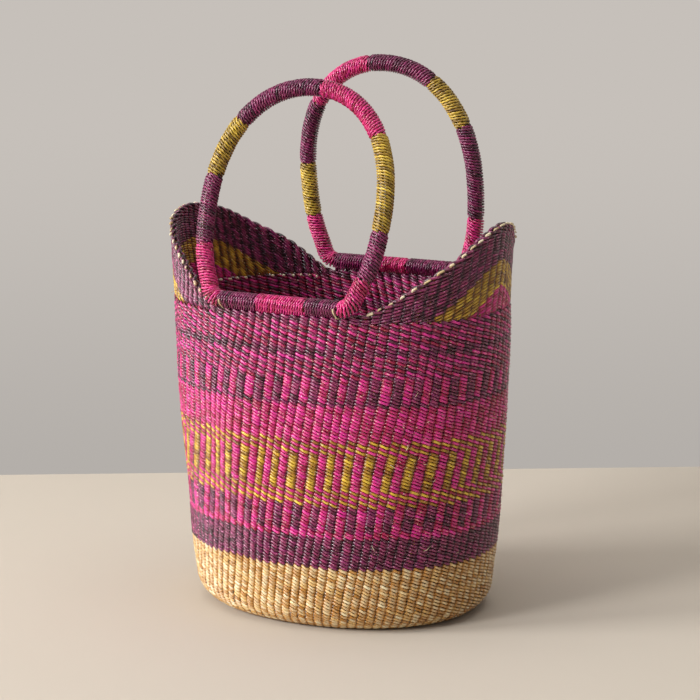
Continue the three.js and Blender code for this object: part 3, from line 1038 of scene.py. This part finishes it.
# %% Lashings along the bars
LASH_RADIUS = 0.0074
LASH_PITCH = 0.00246
LASH_STRAWS = 3
LASH_DIP = 0.0019
LASH_SQUEEZE = 0.25
LASH_HANDS = {"front": 1, "back": -1}
LASHINGS = {
    "front": (("purple", 0.32), ("pink", 0.41), ("purple", 0.27)),
    "back": (("purple", 0.36), ("pink", 0.24), ("purple", 0.40)),
}


def lashed(side, x, turn, radius):
    """Points round the bar, and their outward directions. Angle 0 is straight out."""
    middle = handle_axes(side)[0]
    outside = math.copysign(1, middle[1])
    half_length, half_width = RIM_HALF - WALL / 2
    bulge = (1 - np.abs(x / half_length) ** PLAN_POWER) ** (1 / PLAN_POWER)
    wall = outside * half_width * bulge
    low = np.clip(-np.sin(turn), 0, 1) ** 2
    out = outside * np.cos(turn) * radius * (1 - LASH_SQUEEZE * low)
    across = middle[1] + (wall - middle[1]) * low + out
    height = middle[2] + np.sin(turn) * radius - LASH_DIP * low
    outward = np.stack([np.zeros(len(turn)), outside * np.cos(turn), np.sin(turn)], -1)
    return np.stack([x, across, height], -1), outward


def lash_path(side, x, turn, free):
    return lashed(side, x, turn, LASH_RADIUS - WRAP_STRAW_RADIUS * (2 - free))


made = {}
for side, parts in LASHINGS.items():
    start = -loops[side].bar_run
    for number, (name, share) in enumerate(parts, 1):
        bundle = Bundle(name, plied=True)
        end = start + share * 2 * loops[side].bar_run
        wind(bundle, lash_path, side, start, end, LASH_STRAWS, LASH_PITCH, LASH_HANDS[side])
        made[f"{side}_{number}"] = bundle.build(
            f"{side}_lash_{number}_{name}", "basket", f"{side}_lashing_{number}_{name}")
        start = end
print("lashings:", made)

# %% [markdown]
# At the ends of each bar an undyed straw ties the corner down. It shows as a thin pale line between
# the lashing and the handle's own wrap, and as a short end that runs along under the bar before it
# goes into the wall.
# A tie is written as the angle in degrees at which it starts and the distance that its end runs on.

# %% Corner ties
TIE_RADIUS = 0.0009
TIE_INSET = TIE_RADIUS * 2.9
TIE_SUNK_SHARE = 0.4
TIE_END_SHARE = 0.4
TIE_POINTS = 24
TIES = ((8, 0.001), (-40, 0.006))
TIE_LOWEST = -80
TIE_RISE = 10
TIE_QUICKNESS = 1.9

ties = Bundle("cut", 4)
walk = np.linspace(0, 1, TIE_POINTS)
run_on = np.clip(walk * 2 - 1, 0, 1)
going_down = np.clip(walk * TIE_QUICKNESS, 0, 1)
thickness = TIE_RADIUS * np.clip(3 - 3 * walk, TIE_END_SHARE, 1)
for side, loop in loops.items():
    for end in (-1, 1):
        for start_turn, run in TIES:
            place = end * (loop.bar_run - TIE_INSET - run * run_on)
            turn = start_turn + (TIE_LOWEST - start_turn) * going_down + TIE_RISE * run_on
            centre, outward = lashed(
                side, place, np.radians(turn), LASH_RADIUS - TIE_RADIUS * TIE_SUNK_SHARE)
            ties.add(centre, outward, thickness, dice.uniform(0.5, 1))
print("ties:", ties.build("corner_ties", "basket"), "triangles")

# %% [markdown]
# Here and there a fine fibre has worked loose. There are few of them, but a straw wall without them
# looks moulded.

# %% Loose fibres
FIBRE_COUNT = 90
FIBRE_RADIUS = 0.00016
FIBRE_REACHES = (0.0015, 0.0042)
FIBRE_DEPTH = 0.0003
FIBRE_BEND = 1.8
FIBRE_SWEEP = 1.6
FIBRE_POINTS = 5

fibres = Bundle("cut", 12)
walk = np.linspace(0, 1, FIBRE_POINTS)[:, None]
for _ in range(FIBRE_COUNT):
    position = dice.uniform(0, STAKES)
    z = dice.uniform(CURVE_START, WALL_TOP)
    root = wall_point(np.array([position]), np.array([z]), np.array([FIBRE_DEPTH]))[0]
    out = unit(root * [1, 1, 0])
    aside = np.cross(UPWARD, out)
    reach = dice.uniform(*FIBRE_REACHES)
    sweep = dice.uniform(-1, 1, 2) * reach
    bent = (aside * sweep[0] + UPWARD * sweep[1]) * walk ** 2 * FIBRE_SWEEP
    line = root + out * reach * np.sin(walk * FIBRE_BEND) + bent
    not_along = np.tile(unit(UPWARD + out * 0.1), (FIBRE_POINTS, 1))
    fibres.add(line, not_along, FIBRE_RADIUS, dice.uniform(0.3, 1))
print("loose fibres:", fibres.build("loose_fibres", "basket"), "triangles")

# %% [markdown]
# The basket stands on a plain pale table in front of a plain pale wall. Both are only a stage.
# They are nearly matt, because a gloss seen towards the lamps would bleach the table.
# The lamps would light the wall unevenly. So where the camera or a shine sees it, it shows an even
# tone of its own instead, with painted shade that makes it a little darker towards the table. From
# behind, the wall is clear, so that the back of the basket can be looked at.

# %% Floor and backdrop
BACKDROP_DISTANCE = 0.46
STAGE_SIZE = 12.0
STAGE_GLOSS = {"Roughness": 0.7, "Specular IOR Level": 0.1}
PAINTED_SHADE_HEIGHTS = (-0.05, 0.40)
BACKDROP_TONES = ("b3aea9", "c6c0ba")
TONED_RAYS = ("Is Camera Ray", "Is Glossy Ray", "Is Transmission Ray")


def stage_plane(name, code, place, turn):
    """A large square that belongs to no body. Returns its material."""
    half = STAGE_SIZE / 2
    mesh = bpy.data.meshes.new(name)
    mesh.from_pydata([(-half, -half, 0), (half, -half, 0), (half, half, 0), (-half, half, 0)],
                     [], [(0, 1, 2, 3)])
    material = bpy.data.materials.new(name)
    material.use_nodes = True
    Wire(material.node_tree).feed(material.node_tree.nodes["Principled BSDF"],
                                  {"Base Color": colour(code)} | STAGE_GLOSS)
    mesh.materials.append(material)
    plane = bpy.data.objects.new(name, mesh)
    plane.location = place
    plane.rotation_euler = turn
    scene.collection.objects.link(plane)
    return material


def show_tone_with_painted_shade(material, low_code, high_code):
    """Seen from the front the material has a tone of its own, with painted shade that darkens it
    lower down. Its back is clear.
    """
    nodes = material.node_tree.nodes
    wires = Wire(material.node_tree)
    where = wires.make("ShaderNodeNewGeometry")
    level = wires.make("ShaderNodeSeparateXYZ", sockets={0: where}, output=2)
    # Painted shade: the tone grows darker lower down.
    tone = level.between(*PAINTED_SHADE_HEIGHTS).mix(colour(low_code), colour(high_code))
    glow = wires.make("ShaderNodeEmission", sockets={0: tone})
    rays = wires.make("ShaderNodeLightPath")
    seen = sum((rays.sibling(ray) for ray in TONED_RAYS), 0.0)
    daylight = Wire(material.node_tree, nodes["Principled BSDF"].outputs[0])
    shown = wires.make("ShaderNodeMixShader", sockets={0: seen, 1: daylight, 2: glow})
    clear = wires.make("ShaderNodeBsdfTransparent")
    both_sides = wires.make(
        "ShaderNodeMixShader", sockets={0: where.sibling("Backfacing"), 1: shown, 2: clear})
    wires.feed(nodes["Material Output"], {"Surface": both_sides})


level_back = Vector((-towards_camera.x, -towards_camera.y, 0)).normalized()
stage_plane("floor", "c8beb0", (0, 0, 0), (0, 0, 0))
wall_material = stage_plane(
    "backdrop", "cbc8c4", level_back * BACKDROP_DISTANCE, (math.pi / 2, 0, AZIMUTH))
show_tone_with_painted_shade(wall_material, *BACKDROP_TONES)
print("stage:", STAGE_SIZE, "m across")

# %% [markdown]
# Two broad lamps stand on the left: one square to the view, and one nearer to the camera. They give
# the bright left side, the sheen on the left of each stitch and the soft shadow to the right.
# A weak lamp overhead lightens that shadow and leaves the right side of the basket dark, and a weak
# sky fills the rest.
# A lamp is written as its power in watts, its size and its place.

# %% Lamps and sky
LAMPS = {
    "key_light": (262, 1.7, screen_right * -5.5 + towards_camera * 0.8 + Vector((0, 0, 2.5))),
    "side_light": (190, 1.5, screen_right * -4.5 + towards_camera * 3.1 + Vector((0, 0, 2.2))),
    "top_light": (37, 2.4, level_back * 0.2 + Vector((0, 0, 2.6))),
}
SKY_COLOUR = "fbfcff"
SKY_STRENGTH = 0.26

for name, (power, size, place) in LAMPS.items():
    lamp = bpy.data.objects.new(name, bpy.data.lights.new(name, "AREA"))
    lamp.data.energy = power
    lamp.data.size = size
    lamp.location = place
    lamp.rotation_mode = "QUATERNION"
    lamp.rotation_quaternion = (aim - place).to_track_quat("-Z", "Y")
    scene.collection.objects.link(lamp)

scene.world = bpy.data.worlds.new("sky")
scene.world.use_nodes = True
background = scene.world.node_tree.nodes["Background"]
background.inputs["Color"].default_value = colour(SKY_COLOUR)
background.inputs["Strength"].default_value = SKY_STRENGTH
print("lamps:", {name: f"{power} W" for name, (power, _, _) in LAMPS.items()})
